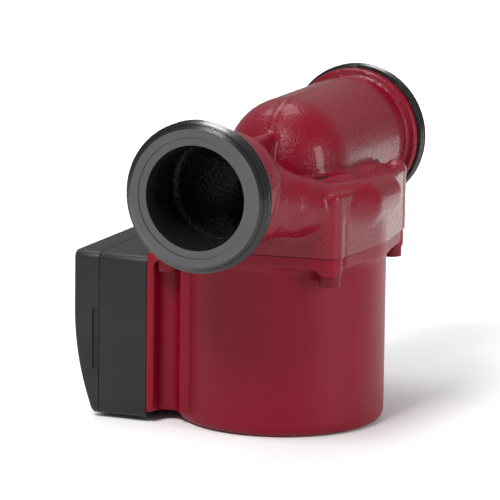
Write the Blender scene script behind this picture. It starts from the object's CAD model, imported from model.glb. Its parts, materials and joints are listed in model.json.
import json
import math

import bmesh
import bpy
from mathutils import Matrix, Vector


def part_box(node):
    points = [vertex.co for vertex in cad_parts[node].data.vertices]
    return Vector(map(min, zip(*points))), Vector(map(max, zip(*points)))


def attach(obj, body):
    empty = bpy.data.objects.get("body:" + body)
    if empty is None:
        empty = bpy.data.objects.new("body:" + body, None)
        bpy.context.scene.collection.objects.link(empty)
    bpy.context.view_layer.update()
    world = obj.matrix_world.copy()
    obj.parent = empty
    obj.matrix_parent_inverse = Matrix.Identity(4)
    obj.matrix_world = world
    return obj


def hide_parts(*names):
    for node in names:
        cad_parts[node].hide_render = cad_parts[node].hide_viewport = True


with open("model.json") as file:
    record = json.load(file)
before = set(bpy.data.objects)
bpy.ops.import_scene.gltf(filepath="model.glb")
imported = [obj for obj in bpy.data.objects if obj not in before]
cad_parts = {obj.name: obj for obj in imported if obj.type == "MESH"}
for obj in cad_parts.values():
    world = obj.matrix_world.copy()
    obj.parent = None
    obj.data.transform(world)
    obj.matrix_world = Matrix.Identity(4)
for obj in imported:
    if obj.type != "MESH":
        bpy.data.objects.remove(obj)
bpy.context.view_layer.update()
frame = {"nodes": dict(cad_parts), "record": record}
mounts = {mount["name"]: mount for mount in frame["record"]["mounts"]}
MM = 0.001

# ---------------------------------------------------------------------------
# Floor, studio light and camera
# A pale matt floor, a large key light from the upper left, a fill from the
# right and a top light; a long lens looks slightly down on the near port.
# ---------------------------------------------------------------------------
scene = bpy.context.scene
scene.view_settings.view_transform = "Standard"


def plain_material(name, colour, roughness):
    material = bpy.data.materials.new(name)
    material.use_nodes = True
    shader = material.node_tree.nodes["Principled BSDF"]
    shader.inputs["Base Color"].default_value = (*colour, 1)
    shader.inputs["Roughness"].default_value = roughness
    return material


def deselect():
    if bpy.context.mode != "OBJECT":
        bpy.ops.object.mode_set(mode="OBJECT")
    bpy.ops.object.select_all(action="DESELECT")


deselect()
bpy.ops.mesh.primitive_plane_add(size=12, location=(0, 0, 0))
floor = bpy.context.object
floor.name = "studio_floor"
floor.data.materials.append(plain_material("pale_floor", (0.92, 0.92, 0.92), 0.9))

world = bpy.data.worlds.new("studio_world")
scene.world = world
world.use_nodes = True
world.node_tree.nodes["Background"].inputs["Color"].default_value = (1, 1, 1, 1)
world.node_tree.nodes["Background"].inputs["Strength"].default_value = 0.33


def soft_light(name, place, target, size, power):
    lamp = bpy.data.lights.new(name, "AREA")
    lamp.shape = "RECTANGLE"
    lamp.size, lamp.size_y = size
    lamp.energy = power
    holder = bpy.data.objects.new(name, lamp)
    scene.collection.objects.link(holder)
    holder.location = place
    holder.rotation_euler = (Vector(target) - Vector(place)).to_track_quat("-Z", "Y").to_euler()
    return holder


middle = Vector((0, 0, 0.06))
soft_light("key_light", (-0.6, 0.1, 0.75), middle, (0.28, 0.28), 7.5)
soft_light("fill_light", (-0.2, -1.0, 0.3), middle, (0.25, 0.6), 5.0)
soft_light("top_light", (0.3, 0.3, 1.0), middle, (0.6, 0.6), 5.0)
floor_light = soft_light("floor_light", (1.15, 0.47, 0.8), Vector((1.15, 0.47, 0)), (1.5, 2.4), 16.0)
floor_light.data.spread = math.radians(65)

heading, tilt, roll = math.radians(67.52), math.radians(11.13), math.radians(0.77)
lens_data = bpy.data.cameras.new("photo_camera")
camera = bpy.data.objects.new("photo_camera", lens_data)
scene.collection.objects.link(camera)
lens_data.sensor_width = 36
lens_data.lens = 270.4
lens_data.clip_end = 30
camera.matrix_world = (
    Matrix.Translation((-1.3920, -0.5622, 0.3637))
    @ Matrix.Rotation(-heading, 4, "Z")
    @ Matrix.Rotation(math.pi / 2 - tilt, 4, "X")
    @ Matrix.Rotation(roll, 4, "Z")
)
scene.camera = camera

# ---------------------------------------------------------------------------
# Pump casting
# Grey cast iron, sand cast in one piece with both ports, then dipped in thick
# glossy red paint: every edge is soft and the grain of the sand shows through.
# ---------------------------------------------------------------------------
joint_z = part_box("pump_housing")[0].z
block_top = joint_z + 26 * MM
axis_z = mounts["inlet_thread"]["pos_m"][2]
port_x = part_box("pump_housing")[1].x
bore_r = mounts["inlet_bore"]["dims"]["r_mm"] * MM
thread_r = mounts["inlet_thread"]["dims"]["r_mm"] * MM


def apply_modifier(piece, kind, **settings):
    deselect()
    piece.select_set(True)
    bpy.context.view_layer.objects.active = piece
    modifier = piece.modifiers.new(kind.lower(), kind)
    for key, value in settings.items():
        setattr(modifier, key, value)
    bpy.ops.object.modifier_apply(modifier=modifier.name)
    return piece


def smoothed(piece, degrees):
    """Smooth shading, with a sharp line wherever two faces meet at more than the angle."""
    deselect()
    piece.select_set(True)
    bpy.context.view_layer.objects.active = piece
    bpy.ops.object.shade_smooth_by_angle(angle=math.radians(degrees))
    return piece


def ball(centre, radius):
    deselect()
    bpy.ops.mesh.primitive_uv_sphere_add(segments=48, ring_count=24, radius=radius, location=centre)
    return bpy.context.object


def rod(start, end, start_r, end_r, sides=64):
    deselect()
    start, end = Vector(start), Vector(end)
    bpy.ops.mesh.primitive_cone_add(
        vertices=sides, radius1=start_r, radius2=end_r, depth=(end - start).length,
        location=(start + end) / 2, rotation=(end - start).to_track_quat("Z", "Y").to_euler())
    return bpy.context.object


def brick(low, high):
    deselect()
    low, high = Vector(low), Vector(high)
    bpy.ops.mesh.primitive_cube_add(size=1, location=(low + high) / 2, scale=high - low)
    return bpy.context.object


def joined(pieces, name):
    deselect()
    for piece in pieces:
        piece.select_set(True)
    bpy.context.view_layer.objects.active = pieces[0]
    bpy.ops.object.join()
    bpy.ops.object.transform_apply(location=True, rotation=True, scale=True)
    pieces[0].name = name
    pieces[0].data.name = name
    return pieces[0]


def fused(pieces, name, voxel):
    """Joins overlapping closed shapes into one skin of even faces."""
    return apply_modifier(joined(pieces, name), "REMESH", mode="VOXEL", voxel_size=voxel)


def cut(piece, tool, operation="DIFFERENCE"):
    """Takes the tool out of the piece, or with INTERSECT keeps only what lies in it."""
    apply_modifier(piece, "BOOLEAN", object=tool, operation=operation, solver="EXACT")
    bpy.data.objects.remove(tool)
    return piece


def trimmed(piece, point, normal):
    """Cuts the piece flat at a plane, keeps the side against the normal and closes it."""
    deselect()
    piece.select_set(True)
    bpy.context.view_layer.objects.active = piece
    bpy.ops.object.mode_set(mode="EDIT")
    bpy.ops.mesh.select_all(action="SELECT")
    bpy.ops.mesh.bisect(plane_co=point, plane_no=normal, use_fill=True, clear_outer=True)
    bpy.ops.object.mode_set(mode="OBJECT")
    return piece


def flange_block(half, corner_r, side_r, low, high):
    """Square block with bulged sides and round corners, from a circle whose points move out."""
    deselect()
    bpy.ops.mesh.primitive_cylinder_add(
        vertices=256, radius=side_r, depth=high - low, location=(0, 0, (low + high) / 2))
    block = bpy.context.object
    bpy.ops.object.transform_apply(location=True)
    reach = half * math.sqrt(2)
    swing = math.acos((side_r - corner_r) / reach)
    for vertex in block.data.vertices:
        angle = math.atan2(vertex.co.y, vertex.co.x)
        off = abs((angle % (math.pi / 2)) - math.pi / 4)
        if off < swing:
            radius = side_r / math.cos(swing - off)
            if reach * math.sin(off) < corner_r:
                corner = math.asin(reach * math.sin(off) / corner_r)
                radius = min(radius, reach * math.cos(off) + corner_r * math.cos(corner))
            vertex.co.x, vertex.co.y = radius * math.cos(angle), radius * math.sin(angle)
    return block


screw_half = 34.8 * MM
screw_places = [(sx * screw_half, sy * screw_half) for sx in (-1, 1) for sy in (-1, 1)]
screw_hole_r = 2.55 * MM
side_r = 44.2 * MM
corner_r = 5.3 * MM
scroll_z = joint_z + 18.5 * MM
scroll_y = -38.5 * MM
collar_x = port_x - 11 * MM
collar_r = 28.4 * MM
thread_length = 7.8 * MM
suction_r = 26 * MM
suction_bore_r = 21.4 * MM
pipe_wall = 4.2 * MM
pipe = [
    ((26.8 * MM, scroll_y + 8 * MM, scroll_z), 7.5 * MM),
    ((10 * MM, scroll_y, scroll_z), 9.2 * MM),
    ((-12 * MM, scroll_y, scroll_z), 9.8 * MM),
    ((-28.8 * MM, -29.8 * MM, scroll_z), 10.2 * MM),
    ((-44.8 * MM, -20 * MM, scroll_z + 3 * MM), 12.8 * MM),
    ((-55.8 * MM, -9 * MM, scroll_z + 6.5 * MM), 17.8 * MM),
    ((-66 * MM, -1 * MM, axis_z - 0.5 * MM), 23.8 * MM),
]
shapes = [flange_block(screw_half, corner_r, side_r, joint_z - 3 * MM, block_top)]
boss_r = corner_r + 0.3 * MM
for place in screw_places:
    shapes.append(rod((*place, joint_z - 3 * MM), (*place, block_top), boss_r, boss_r))
for (start, start_r), (end, end_r) in zip(pipe, pipe[1:]):
    shapes += [rod(start, end, start_r, end_r), ball(end, end_r)]
shapes.append(ball(*pipe[0]))
suction_end = (8 * MM, 0, axis_z)
shapes.append(ball(suction_end, suction_r))
shapes.append(rod(suction_end, (66 * MM, 0, axis_z), suction_r, suction_r))
shapes.append(rod((66 * MM, 0, axis_z), (collar_x + 1 * MM, 0, axis_z), suction_r, 24 * MM))
shapes.append(rod((collar_x, 0, axis_z), (collar_x + 6 * MM, 0, axis_z), collar_r, collar_r))
shapes.append(rod((-collar_x - 6 * MM, 0, axis_z), (-collar_x, 0, axis_z), collar_r, collar_r))
shapes.append(rod((-collar_x - 1 * MM, 0, axis_z), (-66 * MM, 0, axis_z), 24.5 * MM, 24 * MM))
seam_turns = [math.radians(5 * step) for step in range(-4, 31)]
seam = [
    Vector((8 * MM - suction_r * math.sin(turn), 0, axis_z + suction_r * math.cos(turn)))
    for turn in seam_turns if math.sin(turn) >= 0]
for here, there in zip(seam, seam[1:]):
    shapes.append(rod(here, there, 0.8 * MM, 0.8 * MM, 12))
seam_start, seam_end = (8 * MM, 0, axis_z + suction_r), (70 * MM, 0, axis_z + 25.6 * MM)
shapes.append(rod(seam_start, seam_end, 0.75 * MM, 0.75 * MM, 12))
web_half = 3.2 * MM
web_top = block_top + 15.5 * MM
shapes.append(brick((-72 * MM, -web_half, block_top - 2 * MM), (-6 * MM, web_half, web_top)))
shapes.append(rod((-72 * MM, 0, web_top), (-6 * MM, 0, web_top), web_half, web_half))
ledge = (
    ((-12 * MM, -21 * MM), 4.2 * MM), ((-2 * MM, -27 * MM), 5.2 * MM), ((10 * MM, -26 * MM), 4.6 * MM),
    ((22 * MM, -28.5 * MM), 5.4 * MM), ((34 * MM, -27 * MM), 4.4 * MM))
ledge_z = block_top - 3 * MM
for (start, start_r), (end, end_r) in zip(ledge, ledge[1:]):
    shapes += [rod((*start, ledge_z), (*end, ledge_z), start_r, end_r), ball((*start, ledge_z), start_r)]
shapes.append(ball((40.5 * MM, -34 * MM, block_top - 2.5 * MM), 4.6 * MM))
casting = fused(shapes, "pump_casting", 0.9 * MM)
apply_modifier(casting, "SMOOTH", factor=0.5, iterations=8)

suction_dome = ball(suction_end, suction_bore_r)
suction_way = rod(suction_end, (60 * MM, 0, axis_z), suction_bore_r, suction_bore_r)
upper = joined([suction_dome, suction_way], "upper_passage")
apply_modifier(upper, "REMESH", mode="VOXEL", voxel_size=1.2 * MM)
trimmed(upper, (0, 0, block_top), (0, 0, -1))
tools = []
for (start, start_r), (end, end_r) in zip(pipe, pipe[1:]):
    tools += [rod(start, end, start_r - pipe_wall, end_r - pipe_wall), ball(end, end_r - pipe_wall)]
tools.append(ball(pipe[0][0], pipe[0][1] - pipe_wall))
tools.append(rod((0, 0, joint_z + 5 * MM), (0, 0, joint_z + 22 * MM), 32.5 * MM, 32.5 * MM))
tools.append(rod((0, 0, joint_z + 20 * MM), (0, 0, block_top + 2 * MM), 17.9 * MM, 17.9 * MM))
tools.append(rod((46 * MM, 0, axis_z), (port_x, 0, axis_z), bore_r, bore_r))
tools.append(rod((-64 * MM, 0, axis_z), (-port_x, 0, axis_z), bore_r, bore_r))
tools.append(upper)
passages = fused(tools, "passages", 1.1 * MM)
cut(casting, passages)
trimmed(casting, (0, 0, joint_z + 0.3 * MM), (0, 0, -1))
trimmed(casting, (port_x - thread_length, 0, 0), (1, 0, 0))
trimmed(casting, (-port_x + thread_length, 0, 0), (-1, 0, 0))
cut(casting, rod((0, 0, joint_z - 2 * MM), (0, 0, joint_z + 5 * MM), 40.3 * MM, 40.3 * MM, 128))
for place in screw_places:
    screw_hole = rod((*place, joint_z - 2 * MM), (*place, joint_z + 9.1 * MM), screw_hole_r, screw_hole_r, 24)
    cut(casting, screw_hole)
smoothed(casting, 50)
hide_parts("pump_housing")
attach(casting, "stationary")


def grain_group():
    """Broken-up surface: two sizes of noise give a mask and a bumped normal."""
    group = bpy.data.node_groups.new("surface_grain", "ShaderNodeTree")
    face = group.interface
    for name, value in (("Size", 1500.0), ("Depth", 0.0001), ("Strength", 0.3), ("Spread", 60.0)):
        face.new_socket(name, in_out="INPUT", socket_type="NodeSocketFloat").default_value = value
    face.new_socket("Mask", in_out="OUTPUT", socket_type="NodeSocketFloat")
    face.new_socket("Patches", in_out="OUTPUT", socket_type="NodeSocketFloat")
    face.new_socket("Normal", in_out="OUTPUT", socket_type="NodeSocketVector")
    tree, link = group.nodes, group.links.new
    into, out = tree.new("NodeGroupInput"), tree.new("NodeGroupOutput")
    place = tree.new("ShaderNodeTexCoord")
    fine, wide = tree.new("ShaderNodeTexNoise"), tree.new("ShaderNodeTexNoise")
    fine.inputs["Detail"].default_value = 4
    wide.inputs["Detail"].default_value = 3
    bump = tree.new("ShaderNodeBump")
    for noise, size in ((fine, "Size"), (wide, "Spread")):
        link(place.outputs["Object"], noise.inputs["Vector"])
        link(into.outputs[size], noise.inputs["Scale"])
    link(fine.outputs["Fac"], bump.inputs["Height"])
    link(into.outputs["Depth"], bump.inputs["Distance"])
    link(into.outputs["Strength"], bump.inputs["Strength"])
    link(fine.outputs["Fac"], out.inputs["Mask"])
    link(wide.outputs["Fac"], out.inputs["Patches"])
    link(bump.outputs["Normal"], out.inputs["Normal"])
    return group


surface_grain = grain_group()


def grained(name, dark, light, rough, grain_mm, depth_mm, metal=0.0, strength=0.5, coat=0.0, spread=60.0,
            shine=0.5):
    """Material whose colour and roughness wander between two values over a bumped grain."""
    material = bpy.data.materials.new(name)
    material.use_nodes = True
    tree, link = material.node_tree.nodes, material.node_tree.links.new
    shader = tree["Principled BSDF"]
    grain = tree.new("ShaderNodeGroup")
    grain.node_tree = surface_grain
    grain.inputs["Size"].default_value = 1000 / grain_mm
    grain.inputs["Depth"].default_value = depth_mm * MM
    grain.inputs["Strength"].default_value = strength
    grain.inputs["Spread"].default_value = spread
    blend = tree.new("ShaderNodeMix")
    blend.data_type = "RGBA"
    blend.inputs["A"].default_value = (*dark, 1)
    blend.inputs["B"].default_value = (*light, 1)
    link(grain.outputs["Patches"], blend.inputs["Factor"])
    link(blend.outputs["Result"], shader.inputs["Base Color"])
    spread_rough = tree.new("ShaderNodeMapRange")
    spread_rough.inputs["To Min"].default_value = rough[0]
    spread_rough.inputs["To Max"].default_value = rough[1]
    link(grain.outputs["Mask"], spread_rough.inputs["Value"])
    link(spread_rough.outputs["Result"], shader.inputs["Roughness"])
    link(grain.outputs["Normal"], shader.inputs["Normal"])
    shader.inputs["Metallic"].default_value = metal
    shader.inputs["Specular IOR Level"].default_value = shine
    shader.inputs["Coat Weight"].default_value = coat
    shader.inputs["Coat Roughness"].default_value = 0.1
    return material


def dress(names, material):
    """Gives CAD nodes that show as they are their finish."""
    for name in names:
        mesh = frame["nodes"][name].data
        mesh.materials.clear()
        mesh.materials.append(material)


def crisp_copy(node, name, edge, angle=35):
    """A CAD node's shape with its edges broken by a small round."""
    piece = frame["nodes"][node].copy()
    piece.data = piece.data.copy()
    scene.collection.objects.link(piece)
    piece.parent = None
    piece.matrix_world = Matrix.Identity(4)
    piece.name = piece.data.name = name
    deselect()
    piece.select_set(True)
    bpy.context.view_layer.objects.active = piece
    bpy.ops.object.mode_set(mode="EDIT")
    bpy.ops.mesh.select_all(action="SELECT")
    bpy.ops.mesh.remove_doubles(threshold=0.00001)
    bpy.ops.mesh.normals_make_consistent(inside=False)
    bpy.ops.mesh.dissolve_limited(angle_limit=math.radians(0.5))
    bpy.ops.object.mode_set(mode="OBJECT")
    if edge:
        apply_modifier(piece, "BEVEL", width=edge, segments=3, limit_method="ANGLE",
                       angle_limit=math.radians(angle), harden_normals=False)
    smoothed(piece, 35)
    piece.data.materials.clear()
    return piece


red_gloss = grained("red_cast_paint", (0.15, 0.0008, 0.0095), (0.185, 0.0014, 0.0135), (0.2, 0.36), 0.95,
                    0.6, strength=0.6, coat=0.22, shine=0.2)
raw_iron = grained("raw_cast_iron", (0.006, 0.006, 0.006), (0.03, 0.028, 0.027), (0.2, 0.6), 1.6, 0.9,
                   metal=0.5, strength=0.9)
casting.data.materials.append(red_gloss)
casting.data.materials.append(raw_iron)
for face in casting.data.polygons:
    centre, normal = face.center, face.normal
    near_shaft = math.hypot(centre.x, centre.y) < 41 * MM and centre.z < block_top - 3 * MM
    across = Vector((0, centre.y, centre.z - axis_z))
    in_port = abs(centre.x) > 8 * MM and across.length < 24 * MM and normal.dot(across) < 0
    dome = centre - Vector(suction_end)
    in_dome = dome.length < 23 * MM and normal.dot(dome) < 0
    in_pipe = False
    for (start, start_r), (end, end_r) in zip(pipe, pipe[1:]):
        leg = Vector(end) - Vector(start)
        share = max(0, min(1, (centre - Vector(start)).dot(leg) / leg.length_squared))
        off = centre - Vector(start) - leg * share
        if off.length < start_r + (end_r - start_r) * share - 1.5 * MM and normal.dot(off) < 0:
            in_pipe = True
    if near_shaft or in_pipe or in_port or in_dome:
        face.material_index = 1

# ---------------------------------------------------------------------------
# Union ends
# The pipe thread of each port, cut on the lathe and blackened; the sealing face
# is turned bright, with a fine step round the bore.
# ---------------------------------------------------------------------------
thread_start = port_x - thread_length
step_r = 23.8 * MM
thread_pitch = 2.309 * MM
thread_depth = 1.25 * MM
blackened = grained("blackened_thread", (0.006, 0.006, 0.006), (0.014, 0.014, 0.014), (0.18, 0.35), 0.7,
                    0.1, metal=0.3, strength=0.3, coat=0.2)
turned_face = grained("turned_face", (0.035, 0.035, 0.037), (0.05, 0.05, 0.052), (0.32, 0.5), 0.5, 0.06,
                      metal=0.55, strength=0.35)
step_face = grained("turned_step", (0.075, 0.075, 0.078), (0.1, 0.1, 0.104), (0.3, 0.48), 0.5, 0.06,
                    metal=0.55, strength=0.35)
for face_material in (turned_face, step_face):
    tree, link = face_material.node_tree.nodes, face_material.node_tree.links.new
    rings = tree.new("ShaderNodeTexWave")
    rings.wave_type, rings.rings_direction = "RINGS", "X"
    rings.inputs["Scale"].default_value = 700
    rings.inputs["Distortion"].default_value = 0.4
    place = tree.new("ShaderNodeTexCoord")
    mapping = tree.new("ShaderNodeMapping")
    mapping.inputs["Location"].default_value = (0, 0, -axis_z)
    ring_bump = tree.new("ShaderNodeBump")
    ring_bump.inputs["Strength"].default_value = 0.25
    ring_bump.inputs["Distance"].default_value = 0.00005
    link(place.outputs["Object"], mapping.inputs["Vector"])
    link(mapping.outputs["Vector"], rings.inputs["Vector"])
    link(rings.outputs["Fac"], ring_bump.inputs["Height"])
    link(ring_bump.outputs["Normal"], tree["Principled BSDF"].inputs["Normal"])


def union_end(name, side):
    deselect()
    bpy.ops.mesh.primitive_plane_add(size=1, location=(0, 0, 0))
    ridge = bpy.context.object
    profile = ((0.98, -thread_depth - 0.4 * MM), (0.56, 0), (0.44, 0), (0.02, -thread_depth - 0.4 * MM))
    order = sorted(ridge.data.vertices, key=lambda vertex: math.atan2(vertex.co.y, vertex.co.x))
    for vertex, (along, drop) in zip(order, profile):
        vertex.co = (thread_start - 1.2 * MM + along * thread_pitch, 0, thread_r + drop)
    bpy.ops.object.mode_set(mode="EDIT")
    bpy.ops.mesh.select_all(action="SELECT")
    bpy.ops.mesh.delete(type="ONLY_FACE")
    bpy.ops.object.mode_set(mode="OBJECT")
    apply_modifier(
        ridge, "SCREW", axis="X", angle=math.tau, screw_offset=thread_pitch, iterations=4, steps=96,
        render_steps=96, use_merge_vertices=False)
    bpy.ops.object.mode_set(mode="EDIT")
    bpy.ops.mesh.select_all(action="DESELECT")
    bpy.ops.mesh.select_mode(type="EDGE")
    bpy.ops.mesh.select_non_manifold()
    bpy.ops.mesh.fill()
    bpy.ops.mesh.select_all(action="SELECT")
    bpy.ops.mesh.normals_make_consistent(inside=False)
    bpy.ops.object.mode_set(mode="OBJECT")
    for vertex in ridge.data.vertices:
        vertex.co.z += axis_z
    low, high = (port_x - 20 * MM, 0, axis_z), (port_x + 1 * MM, 0, axis_z)
    past_end = (port_x + 5 * MM, 0, axis_z)
    full_thread = rod((thread_start + 0.2 * MM, 0, axis_z), (port_x - 0.3 * MM, 0, axis_z), 40 * MM, 40 * MM)
    cut(ridge, full_thread, "INTERSECT")
    cut(ridge, rod(low, high, 52.4 * MM, 25.7 * MM, 128), "INTERSECT")
    core_r = thread_r - thread_depth
    end = rod((thread_start - 0.5 * MM, 0, axis_z), (port_x, 0, axis_z), core_r, core_r, 128)
    cut(end, rod(low, high, 52.4 * MM, 25.7 * MM, 128), "INTERSECT")
    cut(end, rod(low, past_end, bore_r, bore_r, 128))
    cut(end, rod((port_x - 0.4 * MM, 0, axis_z), past_end, step_r, step_r, 128))
    end = joined([end, ridge], name)
    if side < 0:
        for vertex in end.data.vertices:
            vertex.co.x, vertex.co.y = -vertex.co.x, -vertex.co.y
    end.name = end.data.name = name
    end.data.materials.clear()
    for material in (blackened, turned_face, step_face, raw_iron):
        end.data.materials.append(material)
    for face in end.data.polygons:
        across = math.hypot(face.center.y, face.center.z - axis_z)
        if abs(face.normal.x) > 0.9 and abs(face.center.x) > port_x - 0.6 * MM:
            face.material_index = 1 if across > step_r else 2
        elif across < 21 * MM:
            face.material_index = 3
    smoothed(end, 30)
    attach(end, "stationary")


union_end("outlet_union_end", -1)
union_end("inlet_union_end", 1)

# ---------------------------------------------------------------------------
# Motor housing
# Die-cast aluminium cup with a square flange, corner bosses for the screws and
# a pad for the terminal box, painted in the pump's red, satin.
# ---------------------------------------------------------------------------
motor_r = 42.8 * MM
flange_z = joint_z - 5.2 * MM
boss_z = flange_z - 2.5 * MM
pad_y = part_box("terminal_base")[0].y
drum = rod((0, 0, 0), (0, 0, joint_z + 3 * MM), motor_r, motor_r, 160)
bpy.ops.object.transform_apply(location=True, rotation=True, scale=True)
bpy.ops.object.mode_set(mode="EDIT")
bpy.ops.mesh.select_all(action="DESELECT")
bpy.ops.object.mode_set(mode="OBJECT")
for edge in drum.data.edges:
    edge.select = all(drum.data.vertices[index].co.z < 0.1 * MM for index in edge.vertices)
bpy.ops.object.mode_set(mode="EDIT")
bpy.ops.mesh.bevel(offset=4 * MM, segments=6)
bpy.ops.object.mode_set(mode="OBJECT")
flange_top = joint_z + 3 * MM
boss_r = corner_r - 0.4 * MM
shapes = [drum, flange_block(screw_half, boss_r, side_r - 0.4 * MM, flange_z, flange_top)]
for place in screw_places:
    shapes.append(rod((*place, boss_z), (*place, flange_top), boss_r, boss_r))
shapes.append(brick((-38 * MM, 39.8 * MM, 4.5 * MM), (38 * MM, pad_y, flange_z + 0.8 * MM)))
shapes.append(brick((-34 * MM, 26 * MM, 4.5 * MM), (34 * MM, 41 * MM, flange_z + 0.5 * MM)))
motor = fused(shapes, "motor_casting", 0.9 * MM)
apply_modifier(motor, "SMOOTH", factor=0.5, iterations=5)
trimmed(motor, (0, 0, joint_z), (0, 0, 1))
for sx in (-1, 1):
    corner = (sx * screw_half, screw_half)
    cut(motor, rod((*corner, -2 * MM), (*corner, boss_z), 5 * MM, 5 * MM, 48))
well = rod((0, 0, 4 * MM), (0, 0, joint_z + 2 * MM), 38.8 * MM, 38.8 * MM, 128)
cut(well, rod((0, 0, 2 * MM), (0, 0, 8 * MM), 20 * MM, 20 * MM))
cut(motor, well)
nose_r = 12.45 * MM
nut_r = 14.2 * MM
cut(motor, rod((0, 0, -2 * MM), (0, 0, 12 * MM), nose_r, nose_r, 96))
cut(motor, rod((0, 0, -2 * MM), (0, 0, 4.4 * MM), nut_r, nut_r, 96))
cut(motor, rod((0, 0, 5.4 * MM), (0, 0, 12 * MM), nut_r, nut_r, 96))
tray = rod((0, 0, -1 * MM), (0, 0, 0.9 * MM), 33.2 * MM, 33.2 * MM, 128)
cut(tray, rod((0, 0, -2 * MM), (0, 0, 2 * MM), 16.3 * MM, 16.3 * MM, 96))
cut(motor, tray)
for place in screw_places:
    cut(motor, rod((*place, boss_z - 2 * MM), (*place, joint_z + 2 * MM), screw_hole_r, screw_hole_r, 24))
lead_z = 60.4 * MM
cut(motor, rod((0, 37 * MM, lead_z), (0, pad_y + 1 * MM, lead_z), 5 * MM, 5 * MM, 32))
red_satin = grained("red_satin_paint", (0.17, 0.0008, 0.0115), (0.19, 0.0012, 0.014), (0.36, 0.46), 1.4,
                    0.12, strength=0.15, shine=0.2)
motor.data.materials.append(red_satin)
smoothed(motor, 50)
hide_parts("motor_housing")
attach(motor, "stationary")

# ---------------------------------------------------------------------------
# Flange screws
# Four socket head screws, painted over together with the castings.
# ---------------------------------------------------------------------------
screws = crisp_copy("flange_screws", "painted_flange_screws", 0.25 * MM)
screw_paint = grained("painted_screw", (0.11, 0.0008, 0.007), (0.13, 0.001, 0.009), (0.35, 0.5), 0.9, 0.1,
                      strength=0.25, shine=0.2)
screws.data.materials.append(screw_paint)
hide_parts("flange_screws")
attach(screws, "stationary")

# ---------------------------------------------------------------------------
# Front face: blank plate, vent screw and its washer
# A thin stainless plate let into the face, left blank, and a turned brass
# screw with a driver slot on a rubber washer.
# ---------------------------------------------------------------------------
brass = grained("turned_brass", (0.55, 0.36, 0.12), (0.66, 0.45, 0.17), (0.2, 0.38), 0.5, 0.05, metal=1.0,
                strength=0.3)
stainless = grained("stainless_sheet", (0.42, 0.42, 0.42), (0.52, 0.52, 0.51), (0.25, 0.42), 0.35, 0.03,
                    metal=1.0, strength=0.25)
rubber = grained("seal_rubber", (0.01, 0.01, 0.01), (0.02, 0.02, 0.02), (0.6, 0.8), 0.4, 0.06, strength=0.4)
front_plate = crisp_copy("blank_plate", "front_plate", 0.1 * MM)
front_plate.data.materials.append(stainless)
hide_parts("blank_plate")
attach(front_plate, "stationary")
vent = crisp_copy("vent_screw", "slotted_vent_screw", 0.35 * MM)
vent.data.materials.append(brass)
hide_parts("vent_screw")
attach(vent, "vent_plug")
rubber_pieces = ("vent_washer", "nose_seal", "housing_gasket", "lead_grommet", "cover_gasket",
                 "thrust_cushion", "gland_seal")
dress(rubber_pieces, rubber)
dress(("rotor_can", "bearing_plate", "rotor_sleeve", "impeller_lock_ring"), stainless)
dress(("can_nose_nut", "wear_ring", "terminal_clamps", "earth_tag"), brass)

# ---------------------------------------------------------------------------
# Terminal box: base and cover
# Injection-moulded in dark grey glass-filled plastic with a fine spark-eroded
# texture; the cover's edges are rounded and it snaps over the base.
# ---------------------------------------------------------------------------
box_plastic = grained("box_plastic", (0.008, 0.008, 0.0084), (0.011, 0.011, 0.0115), (0.4, 0.55), 0.35,
                      0.05, strength=0.45, shine=0.35)
cover_plastic = grained("cover_plastic", (0.009, 0.009, 0.0094), (0.012, 0.012, 0.0125), (0.38, 0.52),
                        0.35, 0.05, strength=0.45, shine=0.35)
box_base = crisp_copy("terminal_base", "box_base", 0.5 * MM)
box_base.data.materials.append(box_plastic)
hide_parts("terminal_base")
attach(box_base, "stationary")
box_cover = crisp_copy("terminal_cover", "box_cover", 0.7 * MM)
box_cover.data.materials.append(cover_plastic)
print_room = 0.1 * MM
for vertex in box_cover.data.vertices:
    if vertex.co.y > 68 * MM:
        vertex.co.y -= print_room
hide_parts("terminal_cover")
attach(box_cover, "cover")

# ---------------------------------------------------------------------------
# Speed knob and the figures round it
# Light grey knob with a finger bar; the three speeds are pad-printed on the
# cover beside it.
# ---------------------------------------------------------------------------
knob_material = grained("knob_plastic", (0.2, 0.2, 0.2), (0.23, 0.23, 0.23), (0.35, 0.5), 0.4, 0.03,
                        strength=0.3)
knob = crisp_copy("speed_knob", "speed_dial", 0.3 * MM)
knob.data.materials.append(knob_material)
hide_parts("speed_knob")
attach(knob, "knob")
knob_z = 34 * MM
figure_r = 14.4 * MM
crown_r = 113 * MM
crown_start = 44.6 * MM
print_white = grained("printed_white", (0.6, 0.6, 0.6), (0.7, 0.7, 0.7), (0.5, 0.6), 0.3, 0.01,
                      strength=0.2)
cover_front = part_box("terminal_cover")[1].y
for figure, turn in ((1, 0), (2, 60), (3, 120)):
    swing = math.radians(turn)
    height = knob_z + figure_r * math.cos(swing)
    sink = max(0, crown_start - height)
    front = cover_front - crown_r + math.sqrt(crown_r ** 2 - sink ** 2)
    deselect()
    bpy.ops.object.text_add(
        location=(figure_r * math.sin(swing), front - 0.07 * MM, height), rotation=(math.pi / 2, 0, math.pi))
    mark = bpy.context.object
    mark.data.body = str(figure)
    mark.data.size = 5.6 * MM
    mark.data.extrude = 0.06 * MM
    mark.data.align_x = "CENTER"
    mark.data.align_y = "CENTER"
    bpy.ops.object.convert(target="MESH")
    bpy.ops.object.transform_apply(location=True, rotation=True, scale=True)
    mark = bpy.context.object
    mark.name = mark.data.name = "printed_figure_" + str(figure)
    mark.data.materials.clear()
    mark.data.materials.append(print_white)
    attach(mark, "cover")

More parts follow.
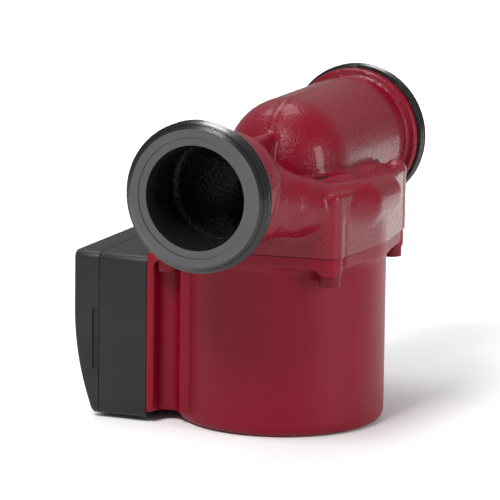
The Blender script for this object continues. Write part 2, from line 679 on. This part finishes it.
# ---------------------------------------------------------------------------
# Cable gland
# Moulded nylon body and clamping nut, both hexagons, with a rubber sleeve.
# ---------------------------------------------------------------------------
nylon = grained("gland_nylon", (0.022, 0.022, 0.023), (0.03, 0.03, 0.031), (0.35, 0.5), 0.5, 0.04,
                strength=0.3)
for node in ("gland_body", "gland_nut"):
    piece = crisp_copy(node, node.replace("gland", "moulded_gland"), 0.4 * MM)
    piece.data.materials.append(nylon)
    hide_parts(node)
    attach(piece, "stationary")

# ---------------------------------------------------------------------------
# Inside of the motor, pump and box
# These pieces show through the ports and when the cover is pulled off; they
# keep their exact turned and moulded shapes.
# ---------------------------------------------------------------------------
steel = grained("zinc_plated_steel", (0.4, 0.41, 0.42), (0.52, 0.53, 0.54), (0.25, 0.4), 0.4, 0.03,
                metal=1.0, strength=0.25)
composite = grained("glass_filled_plastic", (0.5, 0.46, 0.36), (0.58, 0.54, 0.44), (0.35, 0.5), 0.5, 0.05,
                    strength=0.3)
ceramic = grained("alumina_ceramic", (0.7, 0.69, 0.66), (0.78, 0.77, 0.74), (0.15, 0.28), 0.4, 0.02,
                  strength=0.2)
carbon = grained("antimony_carbon", (0.02, 0.02, 0.022), (0.035, 0.035, 0.038), (0.3, 0.5), 0.3, 0.03,
                 metal=0.2, strength=0.3)
copper = grained("enamelled_copper", (0.45, 0.14, 0.05), (0.58, 0.2, 0.08), (0.25, 0.4), 0.5, 0.25,
                 metal=1.0, strength=0.7)
lamination = grained("electrical_steel", (0.16, 0.17, 0.18), (0.24, 0.25, 0.26), (0.35, 0.55), 0.5, 0.05,
                     metal=1.0, strength=0.4)
cage = grained("cast_cage_metal", (0.5, 0.5, 0.51), (0.6, 0.6, 0.61), (0.35, 0.5), 1.2, 0.12, metal=1.0,
               strength=0.4)
jacket = grained("lead_jacket", (0.3, 0.01, 0.01), (0.38, 0.02, 0.02), (0.4, 0.5), 0.4, 0.02, strength=0.2)
block_plastic = grained("block_polyamide", (0.55, 0.53, 0.46), (0.62, 0.6, 0.53), (0.35, 0.5), 0.5, 0.04,
                        strength=0.3)
can_case = grained("capacitor_case", (0.45, 0.45, 0.46), (0.55, 0.55, 0.56), (0.3, 0.45), 0.5, 0.04,
                   strength=0.3)
switch_grey = grained("switch_case", (0.1, 0.1, 0.105), (0.14, 0.14, 0.145), (0.35, 0.5), 0.5, 0.04,
                      strength=0.3)
dress(("impeller", "impeller_shroud"), composite)
dress(("shaft", "pump_end_bearing", "motor_end_bearing"), ceramic)
dress(("thrust_ring",), carbon)
dress(("rotor_core", "stator_core"), lamination)
dress(("rotor_end_rings",), cage)
dress(("stator_coils",), copper)
dress(("winding_leads",), jacket)
dress(("base_screws", "terminal_screws", "earth_screw", "capacitor_strap"), steel)
dress(("terminal_block",), block_plastic)
dress(("capacitor",), can_case)
dress(("speed_switch",), switch_grey)
